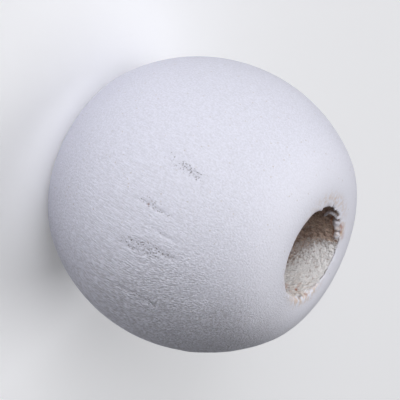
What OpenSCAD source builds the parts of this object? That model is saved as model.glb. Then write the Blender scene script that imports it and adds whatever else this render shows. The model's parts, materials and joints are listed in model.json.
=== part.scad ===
// Round wooden bead, turned in one piece from a dowel and drilled along the grain.
// The bead stands on one end: +Z runs along the hole, and the origin is at the
// middle of the end that it stands on. Millimetres.

/* [Bead] */
// Diameter at the middle of the bead
bead_d = 10; // [9:0.5:14]
// Length along the hole, from end to end
bead_length = 9; // [7:0.5:12]
// Radius of the shoulder that turns in from the belly to each end
shoulder_r = 2.2; // [1.2:0.1:2.6]
// Width of the flat ring round each mouth of the hole
end_flat = 0.15; // [0.05:0.05:0.5]

/* [Hole] */
// Diameter of the drilled hole
bore_d = 3.2; // [2:0.1:4]
// Radius of the rounded lip at each mouth of the hole
lip_r = 0.2; // [0.05:0.05:0.4]

/* [Hidden] */

// Largest turn between two points of an arc, in degrees
arc_step = 3;
// Sides of the preview
preview_sides = 120;

bead_r = bead_d / 2;
bore_r = bore_d / 2;
half_length = bead_length / 2;

// Radii at which the lip ends and the shoulder starts, on the flat end
lip_end_r = bore_r + lip_r;
shoulder_start_r = lip_end_r + end_flat;

// The belly is one arc through the bead's widest point, with its centre at half
// length, and it runs smoothly into the shoulder: the two centres lie as far
// apart as the two radii differ.
shoulder_z = half_length - shoulder_r;
shoulder_inset = bead_r - shoulder_start_r;
belly_r = (shoulder_inset ^ 2 + shoulder_z ^ 2 - shoulder_r ^ 2) / (2 * (shoulder_inset - shoulder_r));
belly_x = bead_r - belly_r;
// Angle above half length at which the belly meets the shoulder
meet_angle = atan2(shoulder_z, shoulder_start_r - belly_x);

// Points along an arc, leaving out this many at each end
function arc(centre, r, from, to, skip = 0) =
    let (steps = ceil(abs(to - from) / arc_step))
    [for (i = [skip : steps - skip])
        let (angle = from + (to - from) * i / steps)
        centre + r * [cos(angle), sin(angle)]];

// Half section of the bead, from the upper lip round the outside to the lower lip
function bead_section() = concat(
    arc([lip_end_r, half_length - lip_r], lip_r, 180, 90),
    arc([shoulder_start_r, shoulder_z], shoulder_r, 90, meet_angle),
    arc([belly_x, 0], belly_r, meet_angle, -meet_angle, skip = 1),
    arc([shoulder_start_r, -shoulder_z], shoulder_r, -meet_angle, -90),
    arc([lip_end_r, lip_r - half_length], lip_r, -90, -180)
);

// The whole bead: a turned body with the hole straight through it
module bead() {
    color("ghostwhite")
        translate([0, 0, half_length])
            rotate_extrude($fn = preview_sides)
                polygon(bead_section());
}

bead();
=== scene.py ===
import itertools
import json
import math

import bpy
import numpy as np
from mathutils import Matrix, Vector


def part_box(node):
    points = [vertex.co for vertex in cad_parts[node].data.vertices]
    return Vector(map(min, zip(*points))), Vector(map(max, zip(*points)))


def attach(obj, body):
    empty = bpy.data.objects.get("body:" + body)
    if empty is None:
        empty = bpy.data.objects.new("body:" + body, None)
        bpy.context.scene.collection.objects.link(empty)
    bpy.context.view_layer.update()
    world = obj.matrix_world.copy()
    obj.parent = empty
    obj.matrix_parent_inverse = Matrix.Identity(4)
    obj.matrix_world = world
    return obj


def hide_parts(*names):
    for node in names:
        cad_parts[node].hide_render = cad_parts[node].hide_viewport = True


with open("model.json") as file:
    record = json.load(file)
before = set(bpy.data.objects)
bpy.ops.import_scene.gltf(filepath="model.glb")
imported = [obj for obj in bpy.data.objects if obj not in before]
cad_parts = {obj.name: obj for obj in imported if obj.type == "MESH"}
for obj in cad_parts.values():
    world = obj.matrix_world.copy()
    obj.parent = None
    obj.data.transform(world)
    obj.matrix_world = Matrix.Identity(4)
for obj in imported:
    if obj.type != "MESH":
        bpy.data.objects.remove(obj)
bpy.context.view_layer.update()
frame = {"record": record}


# The bead is turned in one piece from a dowel of fine hardwood and drilled along the grain.
# It is dipped in thin white paint, which leaves the open pores and the raised grain showing,
# and which only dusts the torn fibres inside the drilled hole.
MM = 0.001
low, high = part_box("bead")
mounts = {mount["name"]: mount for mount in frame["record"]["mounts"]}
bore_r = mounts["thread_hole"]["dims"]["r_mm"]
bore_wall = mounts["thread_hole"]["dims"]["length_mm"]
bead_length = (high.z - low.z) / MM
bead_r = (high.x - low.x) / MM / 2
half_length = bead_length / 2
lip_r = (bead_length - bore_wall) / 2
lip_end_r = bore_r + lip_r
flat_middle_r = mounts["upper_end"]["pos_m"][0] / MM
shoulder_start_r = 2 * flat_middle_r - lip_end_r
shoulder_r = 2.2
shoulder_z = half_length - shoulder_r
shoulder_inset = bead_r - shoulder_start_r
belly_r = (shoulder_inset**2 + shoulder_z**2 - shoulder_r**2) / (2 * (shoulder_inset - shoulder_r))
belly_x = bead_r - belly_r
meet_angle = math.degrees(math.atan2(shoulder_z, shoulder_start_r - belly_x))

# The wood has shrunk more across its growth rings than along them, so the bead is a little oval.
oval_share = 0.0158
oval_azimuth = -49.0

outer_sides = 640
bore_sides = outer_sides // 2
straight_steps = 5
arc_steps = 5
flat_steps = 2
shoulder_steps = 14
belly_steps = 67
# The rows of the lip start this far inside the mouth.
lip_depth = lip_r + 0.05
# The rows of the wall of the hole come in five runs from the lower mouth to the upper, closest near the
# mouths. These are the distances from the mouths' rows at which runs end, and the steps in each run.
lower_run = 0.6
upper_run = 0.75
middle_run = 2.0
run_steps = (12, 8, 6, 12, 28)

# The drill and the paint left the edge of each mouth sharp on one side. The rest is worn round.
sharp_lip_r = 0.06
worn_lip_azimuth = -48.0
worn_lip_turn = 100.0
worn_lip_flatness = 8


def arc_points(centre, radius, start, end, steps):
    """Points (r, z) on an arc: centre plus radius times the cosine and sine of even steps of angle."""
    angles = np.radians(np.linspace(start, end, steps + 1))
    return np.array(centre) + radius * np.column_stack([np.cos(angles), np.sin(angles)])


def outer_section(edge_r):
    """The painted outside as (r, z): lip, flat, shoulder, belly and their mirror image, top to bottom."""
    edge_end_r = bore_r + edge_r
    edge_z = half_length - edge_r
    straight = np.column_stack([
        np.full(straight_steps, bore_r),
        np.linspace(half_length - lip_depth, edge_z, straight_steps + 1)[:-1],
    ])
    lip = arc_points((edge_end_r, edge_z), edge_r, 180, 90, arc_steps)
    flat = np.column_stack([
        np.linspace(edge_end_r, shoulder_start_r, flat_steps + 1),
        np.full(flat_steps + 1, half_length),
    ])
    shoulder = arc_points((shoulder_start_r, shoulder_z), shoulder_r, 90, meet_angle, shoulder_steps)
    belly = arc_points((belly_x, 0), belly_r, meet_angle, -meet_angle, belly_steps)
    upper = np.concatenate([straight, lip, flat[1:], shoulder[1:]])
    lower = upper[::-1] * (1, -1)
    return np.concatenate([upper, belly[1:-1], lower])


def bore_section():
    """The straight wall of the hole as (r, z) from bottom to top, its rows closest near the mouths."""
    top = half_length - lip_depth
    ends = (-top, lower_run - top, middle_run - top, top - middle_run, top - upper_run, top)
    runs = [np.linspace(start, end, steps + 1)[1:] for start, end, steps in zip(ends, ends[1:], run_steps)]
    heights = np.concatenate(runs)[:-1]
    return np.column_stack([np.full(len(heights), bore_r), heights])


def lattice_value(cells, seed):
    """A fixed value from -1 to 1 for each cell, mixed from its three whole-number places and the seed."""
    x, y, z = (cells[..., axis].astype(np.int64).astype(np.uint32) for axis in range(3))
    mixed = x * np.uint32(374761393) + y * np.uint32(668265263) + z * np.uint32(2246822519)
    mixed = mixed + np.uint32(seed * 3266489917 % 2**32)
    mixed = (mixed ^ (mixed >> np.uint32(15))) * np.uint32(2654435761)
    mixed = (mixed ^ (mixed >> np.uint32(13))) * np.uint32(1274126177)
    mixed = mixed ^ (mixed >> np.uint32(16))
    return mixed / 2.0**31 - 1


def solid_noise(points, cell, seed):
    """Smooth values from -1 to 1: the values at a cell's eight corners, blended by smoothstep weights."""
    scaled = points / np.array(cell)
    corner = np.floor(scaled)
    part = scaled - corner
    weight = part * part * (3 - 2 * part)
    total = np.zeros(points.shape[:-1])
    for step in itertools.product((0, 1), repeat=3):
        share = np.prod(np.where(step, weight, 1 - weight), axis=-1)
        total += share * lattice_value(corner + step, seed)
    return total


def smooth_step(low_edge, high_edge, values):
    """Rises from 0 at the low edge to 1 at the high edge, level at both."""
    part = np.clip((values - low_edge) / (high_edge - low_edge), 0, 1)
    return part * part * (3 - 2 * part)


def ring_points(section, sides):
    """Points in mm: each (r, z) of the section swept round Z, made a little oval by the shrinkage."""
    angles = 2 * np.pi * np.arange(sides) / sides
    oval = 1 + oval_share * np.cos(2 * (angles - np.radians(oval_azimuth)))
    r = section[:, :1]
    return np.stack([
        r * oval * np.cos(angles),
        r * oval * np.sin(angles),
        np.repeat(section[:, 1:], sides, axis=1),
    ], axis=-1)


def ring_normals(section, sides, closed_ends):
    """Outward directions: the section's tangent, taken between its neighbours, turned by a right angle."""
    tangent = np.gradient(np.concatenate([closed_ends[:1], section, closed_ends[1:]]), axis=0)[1:-1]
    outward = np.column_stack([-tangent[:, 1], tangent[:, 0]])
    outward = outward / np.linalg.norm(outward, axis=1, keepdims=True)
    angles = 2 * np.pi * np.arange(sides) / sides
    return np.stack([
        outward[:, :1] * np.cos(angles),
        outward[:, :1] * np.sin(angles),
        np.repeat(outward[:, 1:], sides, axis=1),
    ], axis=-1)


bore = bore_section()
worn_outer = outer_section(lip_r)
sharp_outer = outer_section(sharp_lip_r)
bore_points = ring_points(bore, bore_sides)
bore_normals = ring_normals(bore, bore_sides, np.array([worn_outer[-1], worn_outer[0]]))
outer_normals = ring_normals(worn_outer, outer_sides, np.array([bore[-1], bore[0]]))
worn_points = ring_points(worn_outer, outer_sides)
sharp_points = ring_points(sharp_outer, outer_sides)


def azimuth_of(points):
    """Angle round Z in degrees, from -180 to 180."""
    return np.degrees(np.arctan2(points[..., 1], points[..., 0]))


def turn_from(azimuth, middle):
    """How far an azimuth lies from a middle one, in degrees from -180 to 180."""
    return (azimuth - middle + 180) % 360 - 180


worn_turn = turn_from(azimuth_of(worn_points), worn_lip_azimuth) / worn_lip_turn
worn_share = np.exp(-worn_turn**worn_lip_flatness)[..., None]
outer_points = worn_share * worn_points + (1 - worn_share) * sharp_points

# Grain relief: ridges of fibres, highest where the tool lifted the grain a little.
# The fibres lean a few degrees from the hole towards +X.
grain_lean = 7.6
raised_azimuth = -16.0
raised_height = 5.7
raised_reach = 2.2
raised_grain = 1.60
raised_power = 13
raised_least = 0.15
broad_grain = 0.27
broad_power = 2
level_grain = 0.22
# The thick coat round each mouth fills this share of the grain.
coat_fill = 0.42
patch_cell = (0.8, 0.8, 1.8)
patch_change = 0.35
patch_seed = 14
grain_ridges = [
    dict(cell=(0.45, 0.45, 4.0), size=0.003, seed=11),
    dict(cell=(0.18, 0.18, 1.2), size=0.004, seed=12),
    dict(cell=(0.11, 0.11, 0.8), size=0.005, seed=13),
]


def along_fibres(points):
    """The points turned about Y by the grain's lean, so that the fibres run along the third axis."""
    lean = math.radians(grain_lean)
    x, y, z = np.moveaxis(points, -1, 0)
    return np.stack([
        x * math.cos(lean) - z * math.sin(lean),
        y,
        x * math.sin(lean) + z * math.cos(lean),
    ], axis=-1)


def layered_noise(points, layers):
    """Noise of several cell sizes added up, each times its own size in mm."""
    return sum(layer["size"] * solid_noise(points, layer["cell"], layer["seed"]) for layer in layers)


def raised_share(points):
    """How far the grain is raised: a patchy bell round one side and height, a broad bell and a level."""
    turn = np.radians(turn_from(azimuth_of(points), raised_azimuth))
    rise = (points[..., 2] + half_length - raised_height) / raised_reach
    side = 0.5 + 0.5 * np.cos(turn)
    bell = side**raised_power * (raised_least + (1 - raised_least) * np.exp(-rise**2))
    patches = 1 + patch_change * solid_noise(along_fibres(points), patch_cell, patch_seed)
    return level_grain + broad_grain * side**broad_power + raised_grain * bell * patches


# Rows of open pores that the tool tore into the belly, and grooves where fibres came away.
# Azimuth in degrees, lean in degrees from the hole's direction, torn a share, the other sizes in mm.
torn_rows = [
    dict(azimuth=-67.2, height=5.25, lean=-7, length=0.60, width=0.12, depth=0.012, torn=0.80),
    dict(azimuth=-66.3, height=6.15, lean=18, length=0.42, width=0.08, depth=0.020, torn=1.00),
    dict(azimuth=-64.3, height=5.00, lean=2, length=0.30, width=0.07, depth=0.015, torn=0.80),
    dict(azimuth=-65.4, height=5.60, lean=4, length=0.50, width=0.17, depth=0.010, torn=0.62),
    dict(azimuth=-63.8, height=5.80, lean=-7, length=0.42, width=0.06, depth=0.010, torn=0.70),
    dict(azimuth=-81.7, height=5.40, lean=8, length=0.60, width=0.05, depth=0.035, torn=0.95),
    dict(azimuth=-83.5, height=5.30, lean=10, length=0.40, width=0.15, depth=0.000, torn=0.40),
    dict(azimuth=-100.0, height=5.85, lean=11, length=0.85, width=0.24, depth=0.006, torn=0.48),
    dict(azimuth=-74.3, height=5.72, lean=13, length=0.38, width=0.05, depth=0.022, torn=0.35),
    dict(azimuth=-72.9, height=6.00, lean=12, length=0.43, width=0.05, depth=0.030, torn=0.35),
    dict(azimuth=-45.6, height=4.95, lean=16, length=0.24, width=0.06, depth=0.040, torn=0.30),
    dict(azimuth=-45.0, height=5.45, lean=20, length=0.22, width=0.12, depth=0.010, torn=0.60),
    dict(azimuth=-42.5, height=5.90, lean=31, length=0.22, width=0.05, depth=0.040, torn=0.30),
    dict(azimuth=38.0, height=4.10, lean=6, length=0.60, width=0.12, depth=0.012, torn=0.70),
    dict(azimuth=112.0, height=5.90, lean=-5, length=0.50, width=0.10, depth=0.012, torn=0.70),
    dict(azimuth=168.0, height=3.00, lean=4, length=0.50, width=0.12, depth=0.010, torn=0.65),
]


def row_share(points, rows, measure):
    """The largest of the rows' own measures: each a bell across the row and a flat-topped bell along it."""
    azimuths = azimuth_of(points)
    heights = points[..., 2] + half_length
    radii = np.hypot(points[..., 0], points[..., 1])
    share = np.zeros(azimuths.shape)
    for row in rows:
        lean = math.radians(row["lean"])
        side = np.radians(turn_from(azimuths, row["azimuth"])) * radii
        rise = heights - row["height"]
        across = side * math.cos(lean) - rise * math.sin(lean)
        along = side * math.sin(lean) + rise * math.cos(lean)
        bell = np.exp(-(across / row["width"])**2 - (along / row["length"])**4)
        share = np.maximum(share, row[measure] * bell)
    return share


# The wall of the hole is torn by the drill into short fibres, and the lip is frayed.
bore_tears = [
    dict(cell=(0.30, 0.30, 0.45), size=0.030, seed=21),
    dict(cell=(0.12, 0.12, 0.18), size=0.030, seed=22),
    dict(cell=(0.06, 0.06, 0.10), size=0.030, seed=23),
]
lip_frays = [
    dict(cell=(0.14, 0.14, 0.14), size=0.030, seed=24),
    dict(cell=(0.07, 0.07, 0.07), size=0.026, seed=25),
]
frayed_reach = 0.35
# The tears are this strong on the bare wall, and the dust fills this much of them where it is full.
bare_tear = 1.15
dust_fill = 0.55
# Bare wood shows on the lip up to a ragged edge.
bare_edge = (0.55, 0.85)
bare_change = 0.30
bare_cell = (0.07, 0.07, 0.07)
bare_seed = 42

# A broken crack runs along the upper lip where the paint has shrunk from the torn wall. It is cut into the
# surface, and its shadow is painted in as dark colour.
# Its place, its wandering and its width are in rows of the surface.
crack_size = 0.08
crack_row = 7.0
crack_wander = 2.5
crack_width = 1.1
crack_azimuth = 88.0
crack_turn = 42.0
crack_shade = 0.9
crack_wander_cell = (0.11, 0.11, 2.0)
crack_wander_seed = 32
crack_break = (-0.5, 0.0)
crack_break_cell = (0.22, 0.22, 2.0)
crack_break_seed = 31

# Thick paint inside the upper mouth: a curl on the wall, two drips beside it and two drops on the lip.
# Each follows a path of (azimuth, radius, height), and its edge lies between two shares of its bell.
thick_edge = (0.10, 0.45)
thick_paint = [
    dict(width=0.050, size=0.15, path=[
        (145, 1.6, 8.42), (153, 1.6, 8.56), (159, 1.6, 8.70), (158, 1.6, 8.81), (150, 1.6, 8.93),
    ]),
    dict(width=0.11, size=0.15, path=[(141, 1.6, 8.87), (135, 1.6, 8.84), (131, 1.6, 8.87)]),
    dict(width=0.09, size=0.13, path=[(124, 1.6, 8.90), (119.5, 1.6, 8.88)]),
    dict(width=0.07, size=0.11, path=[(-150, 1.6, 8.97)]),
    dict(width=0.06, size=0.08, path=[(172, 1.6, 8.98)]),
]

# Rust-brown tannin has run along the edge of the drips, and has left spots on the lip.
rust_marks = [
    dict(width=0.035, strength=1.0, path=[
        (150, 1.6, 8.80), (145, 1.6, 8.66), (138, 1.6, 8.63),
        (130, 1.6, 8.70), (122, 1.6, 8.74), (117, 1.6, 8.80),
    ]),
    dict(width=0.035, strength=0.80, path=[(141, 1.61, 8.98), (131.5, 1.68, 9.0), (126, 1.64, 9.0)]),
    dict(width=0.060, strength=0.35, path=[(124, 1.78, 9.0), (117, 1.82, 9.0)]),
    dict(width=0.045, strength=0.90, path=[(27, 1.58, 8.62), (31, 1.58, 8.57)]),
    dict(width=0.045, strength=0.35, path=[(31, 1.58, 8.57), (44, 1.60, 8.48)]),
    dict(width=0.070, strength=0.35, path=[(31, 1.58, 8.20), (24, 1.58, 8.28)]),
    dict(width=0.060, strength=0.30, path=[(19, 1.58, 8.52), (12, 1.58, 8.70)]),
    dict(width=0.045, strength=0.55, path=[(30.5, 1.63, 8.92), (33.5, 1.67, 8.96)]),
]

# Grey gaps between the flakes of paint on the lip, painted in as shade.
gap_shade_marks = [
    dict(width=0.045, strength=0.90, path=[(15, 1.65, 8.93), (23.7, 1.62, 8.885)]),
    dict(width=0.035, strength=0.45, path=[(30.5, 1.63, 8.92), (33.5, 1.67, 8.96)]),
    dict(width=0.030, strength=0.40, path=[(47, 1.6, 8.17), (34, 1.6, 8.33)]),
    dict(width=0.045, strength=0.30, path=[(52, 1.6, 8.22), (49, 1.6, 8.34)]),
    dict(width=0.035, strength=0.40, path=[(48, 1.6, 8.57)]),
    dict(width=0.030, strength=0.75, path=[(-177, 1.60, 9.0), (-177, 1.68, 9.0)]),
    dict(width=0.035, strength=0.80, path=[(-158, 1.60, 9.0), (-164, 1.62, 9.0), (-171, 1.60, 9.0)]),
    dict(width=0.040, strength=0.60, path=[(116, 1.62, 9.0), (106, 1.62, 9.0)]),
]

# The dust lies thicker along one stretch of the wall, just inside the upper mouth, and whitens it, partly
# as real dust and partly as a painted highlight where the lip shades the wall.
dust_and_highlight_drifts = [
    dict(width=0.22, strength=1.3, path=[(25, 1.6, 8.42), (43, 1.6, 8.17), (58, 1.6, 7.98)]),
]

# Tan stains spread over the paint round each mouth, and fade out between two shares of the half length.
stain_reach = (0.6, 0.9)
stain_patches = [
    dict(azimuth=20.0, turn=30.0, r=1.72, width=0.16, strength=0.9),
    dict(azimuth=46.0, turn=14.0, r=1.70, width=0.12, strength=0.8),
    dict(azimuth=-175.0, turn=38.0, r=1.88, width=0.18, strength=0.65),
    dict(azimuth=128.0, turn=12.0, r=1.72, width=0.12, strength=1.2),
    dict(azimuth=-34.0, turn=16.0, r=1.65, width=0.08, strength=1.1),
    dict(azimuth=-100.0, turn=60.0, r=1.72, width=0.10, strength=0.5),
]


def path_share(points, path, width):
    """From 1 on a path to 0 away from it: a bell of the distance to the nearest of its straight pieces."""
    azimuths, radii, heights = np.array(path).T
    turns = np.radians(azimuths)
    corners = np.column_stack([radii * np.cos(turns), radii * np.sin(turns), heights - half_length])
    nearest = np.full(points.shape[:-1], np.inf)
    for start, end in zip(corners, np.concatenate([corners[1:], corners[-1:]])):
        step = end - start
        along = np.clip((points - start) @ step / max(step @ step, 1e-9), 0, 1)
        gap = np.linalg.norm(points - start - along[..., None] * step, axis=-1)
        nearest = np.minimum(nearest, gap)
    return np.exp(-(nearest / width)**2)


def marks_share(points, marks, measure):
    """The largest of the marks' own measures at each point."""
    shares = [mark[measure] * path_share(points, mark["path"], mark["width"]) for mark in marks]
    return np.max(shares, axis=0)


def thick_share(points):
    """How far a point is covered by thick paint, from 0 to 1."""
    covers = [path_share(points, lump["path"], lump["width"]) for lump in thick_paint]
    return smooth_step(*thick_edge, np.max(covers, axis=0))


def stain_shape(points, patches):
    """How stained the paint is round each end: bells in azimuth and radius, the strongest at each point."""
    azimuths = azimuth_of(points)
    radii = np.hypot(points[..., 0], points[..., 1])
    at_end = smooth_step(*stain_reach, np.abs(points[..., 2]) / half_length)
    stain = np.zeros(azimuths.shape)
    for patch in patches:
        turn = turn_from(azimuths, patch["azimuth"]) / patch["turn"]
        across = (radii - patch["r"]) / patch["width"]
        stain = np.maximum(stain, patch["strength"] * np.exp(-turn**2 - across**2))
    return stain * at_end


# Paint dusts the torn wall in from each mouth, deepest at one azimuth and not at all on the far side.
# Angles are in degrees and depths in mm.
dust_azimuth = 30.0
dust_turn = 80.5
dust_depth = 1.38
dust_fade = (-0.60, 0.60)
dust_full = 1.5
dust_roundness = 4
dust_drop = 4.0

# The coat is thicker and whiter round each mouth, partly real paint and partly a painted highlight on the
# rim. It thickens between two shares of the half length and between two radii, and lies a little thicker
# and whiter at one azimuth, a painted highlight on that side.
coat_reach = (0.45, 0.95)
coat_radii = (4.6, 2.2)
coat_highlight_azimuth = 50.0
coat_highlight_change = 0.15


def dust_shape(points):
    """How thickly paint dusts the wall: full above a depth that arches over azimuth, fading below it."""
    from_mouth = half_length - np.abs(points[..., 2])
    turn = np.abs(turn_from(azimuth_of(points), dust_azimuth)) / dust_turn
    arch = np.sqrt(np.clip(1 - turn**dust_roundness, 0, None))
    depth = dust_depth * arch - dust_drop * np.clip(turn - 1, 0, None)
    return dust_full * smooth_step(*dust_fade, depth - from_mouth)


def coat_and_highlight_shape(points):
    """How thick and how whitened the paint lies, from 0 to 1, the whitening partly a painted highlight:
    most near the hole and none at the middle of the belly.
    """
    radii = np.hypot(points[..., 0], points[..., 1])
    at_end = smooth_step(*coat_reach, np.abs(points[..., 2]) / half_length)
    side = 1 - coat_highlight_change + coat_highlight_change * np.cos(np.radians(azimuth_of(points) - coat_highlight_azimuth))
    return side * at_end * smooth_step(*coat_radii, radii)


# The lip and its crack are found by counting the rows of the outside.
row_numbers = np.arange(len(worn_outer))
rows_from_mouth = np.minimum(row_numbers, row_numbers[::-1])
lip_rows = rows_from_mouth - straight_steps
lip_share = np.clip(1 - lip_rows / arc_steps, 0, 1)[:, None] * np.ones(outer_sides)
crack_path = crack_row + crack_wander * solid_noise(outer_points, crack_wander_cell, crack_wander_seed)
upper_crack = np.exp(-((row_numbers[:, None] - crack_path) / crack_width)**2)
crack_reach = np.exp(-(turn_from(azimuth_of(outer_points), crack_azimuth) / crack_turn)**4)
crack_broken = smooth_step(*crack_break, solid_noise(outer_points, crack_break_cell, crack_break_seed))
lip_crack = upper_crack * crack_reach * crack_broken

# The outside has grain and torn rows on its painted part, and frays and lumps of thick paint on its lip.
outer_torn = row_share(outer_points, torn_rows, "torn")
outer_coat_and_highlight = coat_and_highlight_shape(outer_points)
outer_raised = raised_share(outer_points) * (1 - coat_fill * outer_coat_and_highlight)
lip_thick = thick_share(outer_points)
ridges = layered_noise(along_fibres(outer_points), grain_ridges)
painted_height = outer_raised * ridges - row_share(outer_points, torn_rows, "depth")
lip_frayed = (1 - lip_thick) * layered_noise(outer_points, lip_frays)
lip_height = lip_frayed + marks_share(outer_points, thick_paint, "size")
outer_height = (1 - lip_share) * painted_height + lip_share * lip_height - crack_size * lip_crack

# The wall of the hole is torn, and frayed like the lip near the mouths, with lumps of thick paint on it.
bore_thick = thick_share(bore_points)
near_mouth = smooth_step(frayed_reach, 0.0, half_length - np.abs(bore_points[..., 2]))
bore_dust = dust_shape(bore_points)
tear_strength = bare_tear - dust_fill * bore_dust / dust_full
bore_torn = tear_strength * (1 - near_mouth) * layered_noise(bore_points, bore_tears)
bore_frayed = near_mouth * layered_noise(bore_points, lip_frays)
bore_lumps = marks_share(bore_points, thick_paint, "size")
bore_height = (1 - bore_thick) * (bore_torn + bore_frayed) + bore_lumps

# What the material needs to know at each point, worked out before the relief moves the points.
# Thicker dust on one stretch of the wall, which also whitens it as a painted highlight.
bore_drift_and_highlight = marks_share(bore_points, dust_and_highlight_drifts, "strength")
outer_rust = marks_share(outer_points, rust_marks, "strength") * (1 - lip_thick)
bore_rust = marks_share(bore_points, rust_marks, "strength") * (1 - bore_thick)
outer_stain = stain_shape(outer_points, stain_patches)
bore_stain = stain_shape(bore_points, stain_patches)
ragged_lip = lip_share + bare_change * solid_noise(outer_points, bare_cell, bare_seed)
lip_bare = smooth_step(*bare_edge, ragged_lip)
outer_bare = lip_bare * (1 - lip_thick)
bore_bare = 1 - bore_thick
outer_dust = dust_shape(outer_points)
bore_coat_and_highlight = coat_and_highlight_shape(bore_points)
# Painted shade in the gaps between the flakes and in the crack.
outer_gap_shade = np.maximum(marks_share(outer_points, gap_shade_marks, "strength"), crack_shade * lip_crack)
bore_gap_shade = marks_share(bore_points, gap_shade_marks, "strength")
outer_points = outer_points + outer_normals * outer_height[..., None]
bore_points = bore_points + bore_normals * bore_height[..., None]


def grid_faces(first, rows, sides):
    """Quads between the rings of a grid whose vertices start at the given number, closed round the ring."""
    ring = np.arange(sides)
    following = (ring + 1) % sides
    row = first + sides * np.arange(rows - 1)[:, None]
    corners = [row + ring, row + sides + ring, row + sides + following, row + following]
    return np.stack(corners, axis=-1).reshape(-1, 4)


def seam_faces(fine, coarse, upward):
    """Triangles between a ring and one with half its sides: three to each side of the coarser ring."""
    sides = len(coarse)
    here = np.arange(sides)
    following = (here + 1) % sides
    before = fine[2 * here]
    middle = fine[2 * here + 1]
    after = fine[(2 * here + 2) % len(fine)]
    triangles = np.concatenate([
        np.column_stack([coarse[here], before, middle]),
        np.column_stack([coarse[here], middle, coarse[following]]),
        np.column_stack([coarse[following], middle, after]),
    ])
    return triangles if upward else triangles[:, ::-1]


outer_count = outer_points[..., 0].size
bore_count = bore_points[..., 0].size
outer_numbers = np.arange(outer_count).reshape(outer_points.shape[:2])
bore_numbers = outer_count + np.arange(bore_count).reshape(bore_points.shape[:2])
quads = np.concatenate([
    grid_faces(0, len(worn_outer), outer_sides),
    grid_faces(outer_count, len(bore), bore_sides),
])
triangles = np.concatenate([
    seam_faces(outer_numbers[0], bore_numbers[-1], True),
    seam_faces(outer_numbers[-1], bore_numbers[0], False),
])
vertices = np.concatenate([outer_points.reshape(-1, 3), bore_points.reshape(-1, 3)])
vertices = (vertices + (0, 0, half_length)) * MM

bead_mesh = bpy.data.meshes.new("bead_painted")
bead_mesh.from_pydata(vertices, [], quads.tolist() + triangles.tolist())
bead_mesh.update()
bead_mesh.shade_smooth()
bead = bpy.data.objects.new("bead_painted", bead_mesh)
bpy.context.collection.objects.link(bead)


def keep_attribute(mesh, name, outer_values, bore_values):
    """Stores one number for each vertex, the outside's first and then the hole's."""
    attribute = mesh.attributes.new(name, "FLOAT", "POINT")
    attribute.data.foreach_set("value", np.concatenate([outer_values.ravel(), bore_values.ravel()]))


nowhere = np.zeros(bore_bare.shape)
keep_attribute(bead_mesh, "bare_wood", outer_bare, bore_bare)
keep_attribute(bead_mesh, "paint_dust_and_highlight", outer_dust, bore_dust + bore_drift_and_highlight)
keep_attribute(bead_mesh, "gap_shade", outer_gap_shade, bore_gap_shade)
keep_attribute(bead_mesh, "torn_grain", outer_torn, nowhere)
keep_attribute(bead_mesh, "raised_grain", outer_raised, nowhere)
keep_attribute(bead_mesh, "stain", outer_stain, bore_stain)
keep_attribute(bead_mesh, "rust", outer_rust, bore_rust)
keep_attribute(bead_mesh, "end_coat_and_highlight", outer_coat_and_highlight, bore_coat_and_highlight)

paint = bpy.data.materials.new("white_paint_on_wood")
paint.use_nodes = True
paint_shader = paint.node_tree.nodes["Principled BSDF"]


def paint_node(kind, inputs, **settings):
    """Adds a node to the paint, sets its properties, and sets or links its inputs."""
    node = paint.node_tree.nodes.new(kind)
    for name, value in settings.items():
        setattr(node, name, value)
    for socket, value in inputs.items():
        if isinstance(value, bpy.types.NodeSocket):
            paint.node_tree.links.new(value, node.inputs[socket])
        else:
            node.inputs[socket].default_value = value
    return node


def paint_attribute(name):
    """Reads one of the bead's own numbers."""
    return paint_node("ShaderNodeAttribute", {}, attribute_name=name).outputs["Fac"]


def paint_math(operation, first, second):
    """One operation on two numbers."""
    return paint_node("ShaderNodeMath", {0: first, 1: second}, operation=operation).outputs[0]


def paint_blend(factor, under, over):
    """Colour that goes from the one under to the one over as the factor goes from 0 to 1."""
    node = paint_node("ShaderNodeMix", {0: factor, 6: under, 7: over}, data_type="RGBA")
    return node.outputs[2]


def paint_ramp(value, edges, low_value=0.0, high_value=1.0):
    """Number that goes smoothly between two values as another goes from the first edge to the second."""
    sockets = {
        "Value": value,
        "From Min": edges[0],
        "From Max": edges[1],
        "To Min": low_value,
        "To Max": high_value,
    }
    return paint_node("ShaderNodeMapRange", sockets, interpolation_type="SMOOTHSTEP").outputs["Result"]


def paint_noise(vector, scale, detail=2.0):
    """Smooth noise from 0 to 1 at a scale in cells for each metre."""
    sockets = {"Vector": vector, "Scale": scale, "Detail": detail}
    return paint_node("ShaderNodeTexNoise", sockets).outputs["Fac"]


def paint_shift(noise, size):
    """Noise moved to lie round 0 and made to span a size."""
    return paint_math("MULTIPLY", paint_math("SUBTRACT", noise, 0.5), size)


bead_place = paint_node("ShaderNodeTexCoord", {}).outputs["Object"]


def paint_along_fibres(stretch):
    """The bead's own places, turned to the fibres and drawn out along them by a factor."""
    lean = (0, math.radians(grain_lean), 0)
    sockets = {"Vector": bead_place, "Rotation": lean, "Scale": (1, 1, stretch)}
    return paint_node("ShaderNodeMapping", sockets, vector_type="TEXTURE").outputs["Vector"]


# The edge of a dot wanders by this share of a cell, in waves this much finer than the cells.
dot_wander = 0.5
dot_wander_scale = 2.5
weakest_dot = 0.25


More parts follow.
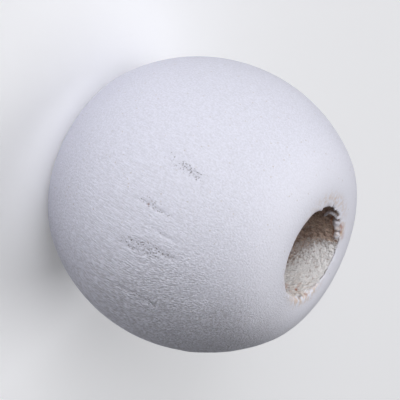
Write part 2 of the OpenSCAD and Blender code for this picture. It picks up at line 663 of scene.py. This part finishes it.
def paint_dots(vector, scale, density, edges):
    """Ragged dots of strengths up to 1, one to a cell of a pattern, kept in a share of the cells."""
    cells = paint_node("ShaderNodeTexVoronoi", {"Vector": vector, "Scale": scale})
    chances = paint_node("ShaderNodeSeparateColor", {"Color": cells.outputs["Color"]})
    kept = paint_math("LESS_THAN", chances.outputs["Red"], density)
    ragged = paint_shift(paint_noise(vector, dot_wander_scale * scale), dot_wander)
    distance = paint_math("ADD", cells.outputs["Distance"], ragged)
    strength = paint_ramp(chances.outputs["Green"], (0.0, 1.0), weakest_dot, 1.0)
    return paint_math("MULTIPLY", paint_math("MULTIPLY", paint_ramp(distance, edges), kept), strength)


bare_wood = paint_attribute("bare_wood")
paint_dust_and_highlight = paint_attribute("paint_dust_and_highlight")
gap_shade = paint_attribute("gap_shade")
torn_grain = paint_attribute("torn_grain")
grain_rise = paint_attribute("raised_grain")
stain = paint_attribute("stain")
rust = paint_attribute("rust")
end_coat_and_highlight = paint_attribute("end_coat_and_highlight")

# The coat is thicker and whiter round the mouths, partly real paint and partly a painted highlight. Where
# the grain is raised its valleys are darker, thin paint with painted shade, and its tips paler, a painted
# highlight. It has specks all over, and fine pores where the grain is torn, dark with bare wood and painted
# shade. Here and below, scales are in cells for each metre, stretches are along the fibres, and a pattern
# fades between its two edges.
paint_colour = (0.815, 0.82, 0.93, 1)
thin_paint_colour = (0.735, 0.738, 0.83, 1)
thick_paint_and_highlight_colour = (0.90, 0.90, 0.995, 1)
valley_shade_colour = (0.55, 0.54, 0.595, 1)
mottle_scale = 17000
mottle_edges = (0.30, 0.70)
grain_rise_span = (0.0, 1.2)
fuzz_scale = 25000
fuzz_stretch = 4.5
valley_edges = (0.53, 0.41)
tip_edges = (0.53, 0.65)
speck_colour = (0.50, 0.43, 0.37, 1)
speck_scale = 9000
speck_share = 0.12
speck_edges = (0.34, 0.12)
speck_strength = 0.45
pore_and_gap_shade_colour = (0.13, 0.09, 0.07, 1)
pore_scale = 19000
pore_stretch = 1.4
pore_edges = (0.50, 0.22)
pored_grain = (0.05, 0.65)
most_pores = 0.92
shaded_grain = (0.3, 0.9)
weakest_shade = 0.45

mottle = paint_noise(bead_place, mottle_scale)
even_coat = paint_blend(paint_ramp(mottle, mottle_edges), thin_paint_colour, paint_colour)
# Whiter round the mouths: thicker paint, and a painted highlight on the rim.
coat = paint_blend(end_coat_and_highlight, even_coat, thick_paint_and_highlight_colour)
# Where the grain is raised, its valleys are painted darker, partly thin paint and partly painted shade, and
# its tips paler, a painted highlight.
relief_shading_share = paint_ramp(grain_rise, grain_rise_span)
raised_fuzz = paint_noise(paint_along_fibres(fuzz_stretch), fuzz_scale)
painted_valley_shade = paint_math("MULTIPLY", paint_ramp(raised_fuzz, valley_edges), relief_shading_share)
painted_tip_highlight = paint_math("MULTIPLY", paint_ramp(raised_fuzz, tip_edges), relief_shading_share)
tip_highlighted_coat = paint_blend(painted_tip_highlight, coat, thick_paint_and_highlight_colour)
valley_shaded_coat = paint_blend(painted_valley_shade, tip_highlighted_coat, valley_shade_colour)
speck = paint_dots(bead_place, speck_scale, speck_share, speck_edges)
specked = paint_blend(paint_math("MULTIPLY", speck, speck_strength), valley_shaded_coat, speck_colour)
# Fine pores where the grain is torn: dark dots, bare wood in the pits and painted shade.
pore_share = paint_ramp(torn_grain, pored_grain, 0.0, most_pores)
fine_pore = paint_dots(paint_along_fibres(pore_stretch), pore_scale, pore_share, pore_edges)
pore_strength = paint_ramp(torn_grain, shaded_grain, weakest_shade, 1.0)
pore_shaded_coat = paint_blend(paint_math("MULTIPLY", fine_pore, pore_strength), specked, pore_and_gap_shade_colour)

# The torn wall of the hole has bare fibres, dark and pale, and crumbs of paint where it is dusted.
bare_fibre_colour = (0.34, 0.245, 0.20, 1)
pale_fibre_colour = (0.66, 0.505, 0.425, 1)
crumbled_dust_colour = (0.64, 0.58, 0.57, 1)
dusted_fibre_colour = (0.95, 0.94, 0.955, 1)
fine_detail = 3.0
pale_scale = 9000
pale_stretch = 1.8
pale_edges = (0.36, 0.64)
crumb_scale = 10000
crumb_edges = (0.36, 0.60)
crumb_fill = 0.22
even_dust = 1.0
fibre_scale = 15000
fibre_wander = 3.0
patch_scale = 6000
patch_wander = 1.6
dust_edges = (0.05, 0.95)

pale_noise = paint_noise(paint_along_fibres(pale_stretch), pale_scale, fine_detail)
bare_fibres = paint_blend(paint_ramp(pale_noise, pale_edges), bare_fibre_colour, pale_fibre_colour)
crumb_noise = paint_noise(bead_place, crumb_scale, fine_detail)
crumb_cover = paint_math("MULTIPLY", paint_math("SUBTRACT", paint_dust_and_highlight, even_dust), crumb_fill)
crumbs = paint_ramp(paint_math("ADD", crumb_noise, crumb_cover), crumb_edges)
dusted = paint_blend(crumbs, crumbled_dust_colour, dusted_fibre_colour)
fibre_noise = paint_noise(bead_place, fibre_scale, fine_detail)
fibre_shift = paint_shift(fibre_noise, fibre_wander)
patch_shift = paint_shift(paint_noise(bead_place, patch_scale), patch_wander)
ragged_dust = paint_math("ADD", paint_dust_and_highlight, paint_math("ADD", fibre_shift, patch_shift))
fibres = paint_blend(paint_ramp(ragged_dust, dust_edges), bare_fibres, dusted)

# Stains lie over both, and turn to rust where they are strongest. Over them come the painted shade of the
# gaps and the crack, the rust marks and one bark-brown spot, which sits in a row of pores on the belly.
stain_colour = (0.70, 0.54, 0.43, 1)
rust_colour = (0.42, 0.13, 0.045, 1)
bark_colour = (0.22, 0.085, 0.055, 1)
stain_scale = 6000
stain_edges = (0.36, 0.62)
rusty_stain = (0.85, 1.1)
rusty_share = 0.7
spot_azimuth = -82.0
spot_r = 4.99
spot_height = 5.25
spot_edge = 0.07
spot_core = 0.02

stain_noise = paint_noise(bead_place, stain_scale, fine_detail)
stain_spots = paint_math("MULTIPLY", stain, paint_ramp(stain_noise, stain_edges))
stained = paint_blend(stain_spots, paint_blend(bare_wood, pore_shaded_coat, fibres), stain_colour)
spotted = paint_blend(paint_ramp(stain_spots, rusty_stain, 0.0, rusty_share), stained, rust_colour)
# Painted shade in the gaps and the crack.
gap_shaded = paint_blend(gap_shade, spotted, pore_and_gap_shade_colour)
rusted = paint_blend(rust, gap_shaded, rust_colour)
spot_turn = math.radians(spot_azimuth)
spot_place = Vector((spot_r * math.cos(spot_turn), spot_r * math.sin(spot_turn), spot_height)) * MM
spot_distance = paint_node("ShaderNodeVectorMath", {0: bead_place, 1: spot_place}, operation="DISTANCE")
bark_spot = paint_ramp(spot_distance.outputs["Value"], (spot_edge * MM, spot_core * MM))
finished_colour = paint_blend(bark_spot, rusted, bark_colour)
paint.node_tree.links.new(finished_colour, paint_shader.inputs["Base Color"])

# Relief too fine for the mesh, in micrometres: the grain of the paint, the fibres, the fuzz of the raised
# grain, the pores and the fuzz of the hole.
micrometre = 0.000001
paint_grain_height = 10.0
grain_scale = 17000
grain_stretch = 6.7
grain_heights = (8.0, 60.0)
fuzz_rise = (0.1, 1.2)
fuzz_height = 90.0
pore_depth = 30.0
bore_fuzz_height = 75.0

paint_grain = paint_math("MULTIPLY", paint_noise(bead_place, fibre_scale), paint_grain_height)
long_grain = paint_noise(paint_along_fibres(grain_stretch), grain_scale)
fibre_grain = paint_math("MULTIPLY", long_grain, paint_ramp(grain_rise, grain_rise_span, *grain_heights))
fuzz_grain = paint_math("MULTIPLY", raised_fuzz, paint_ramp(grain_rise, fuzz_rise, 0.0, fuzz_height))
pore_relief = paint_math("MULTIPLY", fine_pore, -pore_depth)
bore_fuzz = paint_math("MULTIPLY", paint_math("MULTIPLY", fibre_noise, bare_wood), bore_fuzz_height)
paint_relief = paint_math("ADD", paint_math("ADD", paint_grain, fibre_grain), fuzz_grain)
relief = paint_math("ADD", paint_relief, paint_math("ADD", pore_relief, bore_fuzz))
relief_bump = paint_node("ShaderNodeBump", {"Height": relief, "Strength": 1.0, "Distance": micrometre})
paint.node_tree.links.new(relief_bump.outputs["Normal"], paint_shader.inputs["Normal"])

# The paint is matt, and the bare wood more so.
painted_roughness = 0.6
bare_roughness = 0.85
paint_specular = 0.35
roughness = paint_ramp(bare_wood, (0.0, 1.0), painted_roughness, bare_roughness)
paint.node_tree.links.new(roughness, paint_shader.inputs["Roughness"])
paint_shader.inputs["Specular IOR Level"].default_value = paint_specular
bead_mesh.materials.append(paint)

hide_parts("bead")
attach(bead, "root")


# The floor is a plain pale sheet of matt paper that the bead stands on.
# It glows a little for the camera and in reflections only, so that it looks paler than its own colour.
floor_size = 1.0
floor_colour = (0.84, 0.845, 0.88, 1)
floor_lift = 0.20
floor_roughness = 0.9
floor_mesh = bpy.data.meshes.new("floor")
floor_mesh.from_pydata(
    [(x * floor_size, y * floor_size, 0) for x, y in ((-1, -1), (1, -1), (1, 1), (-1, 1))],
    [],
    [(0, 1, 2, 3)],
)
floor = bpy.data.objects.new("floor", floor_mesh)
bpy.context.collection.objects.link(floor)
floor_paper = bpy.data.materials.new("floor_paper")
floor_paper.use_nodes = True
floor_shader = floor_paper.node_tree.nodes["Principled BSDF"]
floor_shader.inputs["Base Color"].default_value = floor_colour
floor_shader.inputs["Roughness"].default_value = floor_roughness
floor_shader.inputs["Emission Color"].default_value = (1, 1, 1, 1)
seen_ray = floor_paper.node_tree.nodes.new("ShaderNodeLightPath")
seen_share = seen_ray.outputs["Is Camera Ray"]
for ray_kind in ("Is Glossy Ray", "Is Transmission Ray"):
    either = floor_paper.node_tree.nodes.new("ShaderNodeMath")
    either.operation = "MAXIMUM"
    floor_paper.node_tree.links.new(seen_share, either.inputs[0])
    floor_paper.node_tree.links.new(seen_ray.outputs[ray_kind], either.inputs[1])
    seen_share = either.outputs[0]
floor_glow = floor_paper.node_tree.nodes.new("ShaderNodeMath")
floor_glow.operation = "MULTIPLY"
floor_glow.inputs[1].default_value = floor_lift
floor_paper.node_tree.links.new(seen_share, floor_glow.inputs[0])
floor_paper.node_tree.links.new(floor_glow.outputs[0], floor_shader.inputs["Emission Strength"])
floor_mesh.materials.append(floor_paper)


# Three plain white softboxes light the bead: a large one in front and above, one low in front, and one
# behind and above. The world gives no light of its own.
def direction(azimuth, elevation):
    """Unit vector at an azimuth round Z and an elevation above the floor, both in degrees."""
    turn = math.radians(azimuth)
    rise = math.radians(elevation)
    return Vector((math.cos(rise) * math.cos(turn), math.cos(rise) * math.sin(turn), math.sin(rise)))


bead_middle = Vector((0, 0, half_length * MM))
lamp_distance = 0.30


def softbox(name, azimuth, elevation, size, power):
    """A square lamp at the lamps' distance from the bead's middle, facing it."""
    lamp = bpy.data.lights.new(name, "AREA")
    lamp.size = size
    lamp.energy = power
    holder = bpy.data.objects.new(name, lamp)
    away = direction(azimuth, elevation)
    holder.location = bead_middle + away * lamp_distance
    holder.rotation_euler = away.to_track_quat("Z", "Y").to_euler()
    bpy.context.collection.objects.link(holder)


softbox("front_softbox", azimuth=-123, elevation=42, size=0.26, power=0.34)
softbox("low_softbox", azimuth=-115, elevation=20, size=0.16, power=0.415)
softbox("upper_softbox", azimuth=122, elevation=60, size=0.20, power=0.39)

world = bpy.data.worlds.new("studio")
world.use_nodes = True
world.node_tree.nodes["Background"].inputs["Strength"].default_value = 0.0
bpy.context.scene.world = world


# The camera looks down at the bead from close by and is turned on its side, so that the upper mouth of the
# hole points to the right. Its distance and shift are set in pixels of the square image.
camera_azimuth = -90.0
camera_elevation = 27.3
camera_roll = 113.5
image_pixels = 400
pixels_per_mm = 29.5
distance_pixels = 2250
camera_distance = distance_pixels / pixels_per_mm * MM
bead_middle_pixel = (202.9, 203.96)

camera_data = bpy.data.cameras.new("camera")
camera_data.sensor_width = 36
camera_data.lens = camera_data.sensor_width * camera_distance / (image_pixels / pixels_per_mm * MM)
camera_data.clip_start = 0.005
camera_data.clip_end = 10
camera = bpy.data.objects.new("camera", camera_data)
toward_camera = direction(camera_azimuth, camera_elevation)
upright = toward_camera.to_track_quat("Z", "Y").to_matrix()
turned = upright @ Matrix.Rotation(math.radians(camera_roll), 3, "Z")
offset_right = (image_pixels / 2 - bead_middle_pixel[0]) / pixels_per_mm * MM
offset_up = (bead_middle_pixel[1] - image_pixels / 2) / pixels_per_mm * MM
camera_place = bead_middle + toward_camera * camera_distance
camera_place = camera_place + turned.col[0] * offset_right + turned.col[1] * offset_up
camera.matrix_world = Matrix.Translation(camera_place) @ turned.to_4x4()
bpy.context.collection.objects.link(camera)
bpy.context.scene.camera = camera
bpy.context.scene.view_settings.view_transform = "Standard"
